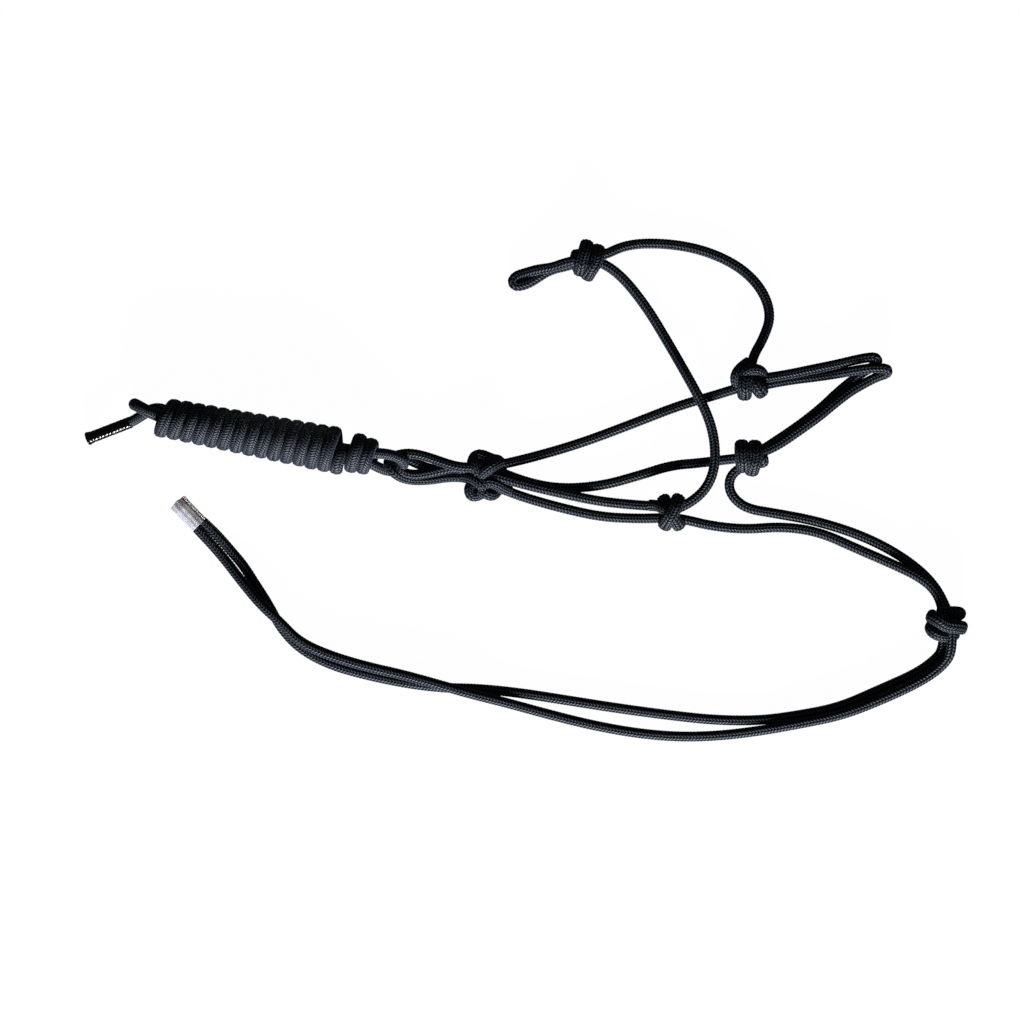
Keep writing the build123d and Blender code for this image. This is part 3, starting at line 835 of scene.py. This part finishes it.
def add_ferrule():
    """The crimped sleeve: an oval tube with a lap seam, faint lengthwise ridges and a pinched far end."""
    length, sides = FERRULE_LENGTH, 120
    angle = 2 * np.pi * np.arange(sides) / sides
    profile = [(6.0, 0.75), (3.0, 0.75), (0.15, 0.75), (0.0, 0.5), (0.0, 0.25), (0.15, 0.0)]
    profile += [(float(station), 0.0) for station in np.linspace(0.4, length - 0.4, 60)]
    profile += [(length - 0.1, 0.0), (length, 0.3), (length - 0.1, 0.7), (length - 1.6, 1.1),
                (length - 2.2, 2.2)]
    rings = [ferrule_ring(distance, inset, angle) for distance, inset in profile]
    lengths = [distance for distance, _ in profile]
    ferrule = ring_mesh("ferrule_sleeve", rings, lengths, (0.5, length), metal_material())
    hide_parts("crown_ferrule")
    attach(ferrule, "crown_tails")


def add_end_sleeve():
    """The shrunk sleeve on the lead's free end, flared where it is cut, with the rope's end inside."""
    start = END_SLEEVE_START
    length, sides = float(np.linalg.norm(END_SLEEVE_END - start)), 64
    forward = (END_SLEEVE_END - start) / length
    side = np.cross(forward, (0.0, 0.0, 1.0))
    side /= np.linalg.norm(side)
    up = np.cross(side, forward)
    angle = 2 * np.pi * np.arange(sides) / sides
    profile = [(0.0, 4.4), (-0.3, 4.65), (0.3, 4.8)]
    for distance in np.linspace(1.0, length - 1.0, 110):
        beads = 0.09 * math.sin(distance * 2 * math.pi / BEAD_PITCH) + 0.05 * math.sin(distance * 0.9)
        flare = END_SLEEVE_FLARE * max(0.0, (distance - length + 6) / 5) ** 2
        profile.append((float(distance), END_SLEEVE_R + beads + flare))
    profile += [(length - 0.5, 5.55), (length, 5.3), (length - 0.3, 4.9), (length - 1.6, 4.6),
                (length - 1.8, 2.4)]
    rings = []
    for distance, radius in profile:
        ripple = radius * (1 + 0.006 * np.sin(3 * angle + distance * 0.4))
        rings.append(start + forward * distance + ripple[:, None] * (
            np.cos(angle)[:, None] * side + np.sin(angle)[:, None] * up))
    lengths = [distance for distance, _ in profile]
    sleeve = ring_mesh("end_sleeve_skin", rings, lengths, (0.5, length), sleeve_material())
    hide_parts("lead_tail_sleeve")
    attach(sleeve, "lead_end")
    return sleeve


# ---------------------------------------------------------------- the lead rope

def winding_route():
    """The lead rope's turns round its own runs, from the near edge of the first turn to the last."""
    edges = []
    for turn in range(HANK_TURNS):
        growth = HANK_R_GROWTH * turn
        edges.append((NEAR_FIRST + NEAR_PITCH * turn, HANK_R_FIRST + growth))
        if turn < HANK_TURNS - 1:
            edges.append((FAR_FIRST + FAR_PITCH * turn, HANK_R_FIRST + growth))
    edges += END_TURNS
    across = np.array((-HANK_HEADING[1], HANK_HEADING[0], 0.0))
    up = np.array((0.0, 0.0, 1.0))
    start = np.array((*HANK_START, 0.0))
    uneven = np.random.default_rng(7)
    edges = [(spot + uneven.normal(0, 0.2), radius + uneven.normal(0, 0.12)) for spot, radius in edges]
    route = [HANK_FIRST_POINT]
    for count in range(-1, (len(edges) - 1) * POINTS_HALF_TURN + 5):
        half_turns = count / POINTS_HALF_TURN
        index = min(max(int(math.floor(half_turns)), 0), len(edges) - 2)
        share = half_turns - index
        ease = share * share * (3 - 2 * share) if 0 <= share <= 1 else share
        spot = edges[index][0] * (1 - ease) + edges[index + 1][0] * ease
        radius = edges[index][1] * (1 - ease) + edges[index + 1][1] * ease
        angle = math.pi * half_turns
        level = max(radius, HANK_R_FIRST) + LEAD_D / 2
        place = (start + HANK_HEADING * spot - radius * math.cos(angle) * across
                 + (level + radius * math.sin(angle)) * up)
        route.append(tuple(place))
    return route


def hank_middles(even):
    """For each point of the winding, the nearest point of the line it is wound round."""
    start = np.array((*HANK_START, HANK_R_LINE)) * MM
    return start + ((even - start) @ HANK_HEADING)[:, None] * HANK_HEADING


def squeezed_core(even, along):
    """The lead's radius: nearly full outside the winding and squeezed inside it."""
    x = even[:, 0] / MM
    inside = np.clip((x + 303) / 8, 0, 1) * np.clip((-134 - x) / 8, 0, 1)
    eye = np.clip((x + 140) / 8, 0, 1)
    return (LEAD_D / 2 - (LEAD_D - LEAD_SQUEEZED_D) / 2 * inside - 0.6 * eye) * MM


def into_end_sleeve(even, along):
    """The tail's radius: a little less inside the end sleeve."""
    return (4.9 - 0.5 * np.clip((along / MM - 22) / 10, 0, 1)) * MM


def lead_rope(name, route, nodes, lay, far_end, with_pieces=(), **shape):
    """One rope of the lead, made in place of its hidden CAD parts. It still has to be tied to a body."""
    piece, line, length = rope(name, route, LEAD_D, LEAD_MATERIAL, LEAD_BRAID, **shape)
    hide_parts(*nodes)
    return piece


def add_lead():
    """The lead's three ropes, its end sleeve, and the halter's two loops that hold its eye."""
    core = lead_rope("lead_core_rope", LEAD_CORE,
                     ("lead_core_upper", "lead_core_lower", "lead_bight", "lead_eye"),
                     "coiled", "object", radii_at=squeezed_core, sides=48)
    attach(core, "lead")
    winding = lead_rope("lead_winding_rope", winding_route(), ("lead_hank", "lead_hank_end_turns"),
                        "coiled", "object", pressed_round=hank_middles)
    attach(winding, "lead")
    tail = lead_rope("lead_tail_rope", LEAD_TAIL, ("lead_tail_root", "lead_tail"), "loose", "bare",
                     with_pieces=[add_end_sleeve()], radii_at=into_end_sleeve, sides=48)
    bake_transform(tail)
    for name, route in (("lead_loop_outer", LEAD_LOOP_OUTER), ("lead_loop_inner", LEAD_LOOP_INNER)):
        swinging_cord(name, route)


# ---------------------------------------------------------------- the scene

add_camera()
CORD_MATERIAL = rope_material("halter_cord", CORD_BRAID, (0.038, 0.047, 0.067), 0.10, 0.50)
# The knots' copy of the cord has a little darker stitch colour than the cord's own, painted shade in the
# knots.
KNOT_MATERIAL = rope_material("halter_cord_tight", KNOT_BRAID, (0.034, 0.042, 0.060), 0.08, 0.50)
LEAD_MATERIAL = rope_material("lead_rope", LEAD_BRAID, (0.035, 0.043, 0.061), 0.05, 0.52)
add_left_side()
add_chin_and_throat()
add_noseband()
add_crown_tails()
add_lead()
for knot_name in KNOTS:
    tied_knot(knot_name, "left_side" if knot_name == "tie_loop_knot" else "halter_base")
add_ferrule()
add_studio()
add_lights()
